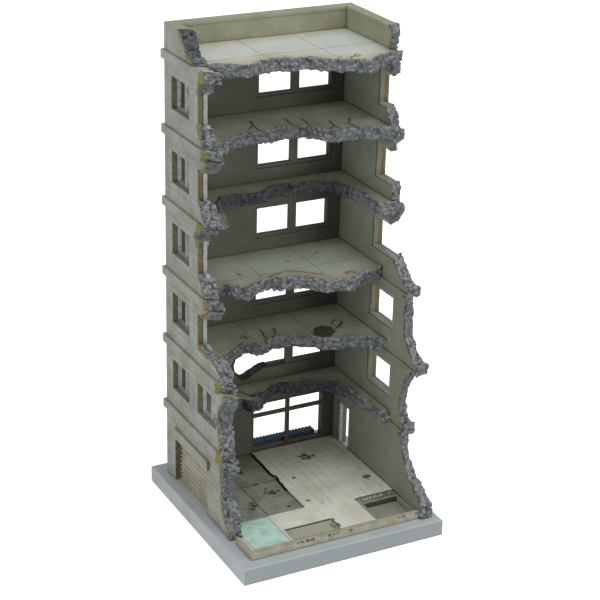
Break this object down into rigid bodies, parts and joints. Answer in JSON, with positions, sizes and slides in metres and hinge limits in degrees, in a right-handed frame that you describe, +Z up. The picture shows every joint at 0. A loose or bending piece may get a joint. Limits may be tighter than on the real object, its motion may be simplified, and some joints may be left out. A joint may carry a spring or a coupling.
{
  "type": "miniature terrain ruin",
  "caption": "Ruined miniature office building with an open broken front, stacking storeys that lift off, window frames, a roller shutter and a base plate.",
  "frame": {"origin": "centre of the base plate's underside", "axes": "+Z up, +X to the right seen from the open front, +Y towards the rear wall"},
  "size_m": [0.067, 0.0686, 0.1508],
  "materials": {
    "wall_paint": "painted satin, weathered with a brown-grey wash; beige tile courses outside, grey-green plaster inside",
    "slab_paint": "painted matt, scored floor panels with a dark wash in the lines and blue-grey broken edges",
    "ground_paint": "painted matt, pale scored floor tiles with dark stains and one pale green patch",
    "base_plastic": "moulded satin plastic, pale blue-grey",
    "frame_paint": "painted matt, pale grey window and door frames with a brown wash",
    "shutter_paint": "painted matt, beige slats with a brown wash in the grooves",
    "trim_paint": "painted matt, warm beige trim",
    "step_paint": "painted matt, slate blue with fine ribs"
  },
  "bodies": {
    "ground": {"base_plate": "base_plastic", "ground_floor": "ground_paint", "ground_wall_left": "wall_paint", "ground_wall_rear": "wall_paint", "ground_wall_right": "wall_paint", "roller_shutter": "shutter_paint", "shutter_hood": "trim_paint", "storefront_frame": "frame_paint", "side_door_frame": "frame_paint", "shop_step": "step_paint"},
    "storey_2": {"floor_slab_2": "slab_paint", "wall_left_2": "wall_paint", "wall_rear_2": "wall_paint", "wall_right_2": "wall_paint", "window_left_rear_2": "frame_paint", "window_left_front_2": "frame_paint", "window_rear_2": "frame_paint", "window_right_2": "frame_paint"},
    "storey_3": {"floor_slab_3": "slab_paint", "wall_left_3": "wall_paint", "wall_rear_3": "wall_paint", "wall_right_3": "wall_paint", "window_left_rear_3": "frame_paint", "window_left_front_3": "frame_paint", "window_rear_3": "frame_paint", "window_right_3": "frame_paint"},
    "storey_4": {"floor_slab_4": "slab_paint", "wall_left_4": "wall_paint", "wall_rear_4": "wall_paint", "wall_right_4": "wall_paint", "window_left_rear_4": "frame_paint", "window_left_front_4": "frame_paint", "window_rear_4": "frame_paint", "window_right_4": "frame_paint"},
    "storey_5": {"floor_slab_5": "slab_paint", "wall_left_5": "wall_paint", "wall_rear_5": "wall_paint", "wall_right_5": "wall_paint", "window_left_rear_5": "frame_paint", "window_left_front_5": "frame_paint", "window_rear_5": "frame_paint", "window_right_5": "frame_paint"},
    "storey_6": {"floor_slab_6": "slab_paint", "wall_left_6": "wall_paint", "wall_rear_6": "wall_paint", "wall_right_6": "wall_paint", "window_left_rear_6": "frame_paint", "window_left_front_6": "frame_paint", "window_rear_6": "frame_paint", "window_right_6": "frame_paint"},
    "roof": {"roof_slab": "slab_paint", "parapet_left": "wall_paint", "parapet_rear": "wall_paint", "parapet_right": "wall_paint"}
  },
  "joints": [
    {"name": "storey_2_lift", "type": "slide", "parent": "ground", "child": "storey_2", "axis": [0, 0, 1], "range_m": [0, 0.025]},
    {"name": "storey_3_lift", "type": "slide", "parent": "storey_2", "child": "storey_3", "axis": [0, 0, 1], "range_m": [0, 0.025]},
    {"name": "storey_4_lift", "type": "slide", "parent": "storey_3", "child": "storey_4", "axis": [0, 0, 1], "range_m": [0, 0.025]},
    {"name": "storey_5_lift", "type": "slide", "parent": "storey_4", "child": "storey_5", "axis": [0, 0, 1], "range_m": [0, 0.025]},
    {"name": "storey_6_lift", "type": "slide", "parent": "storey_5", "child": "storey_6", "axis": [0, 0, 1], "range_m": [0, 0.025]},
    {"name": "roof_lift", "type": "slide", "parent": "storey_6", "child": "roof", "axis": [0, 0, 1], "range_m": [0, 0.025]}
  ]
}
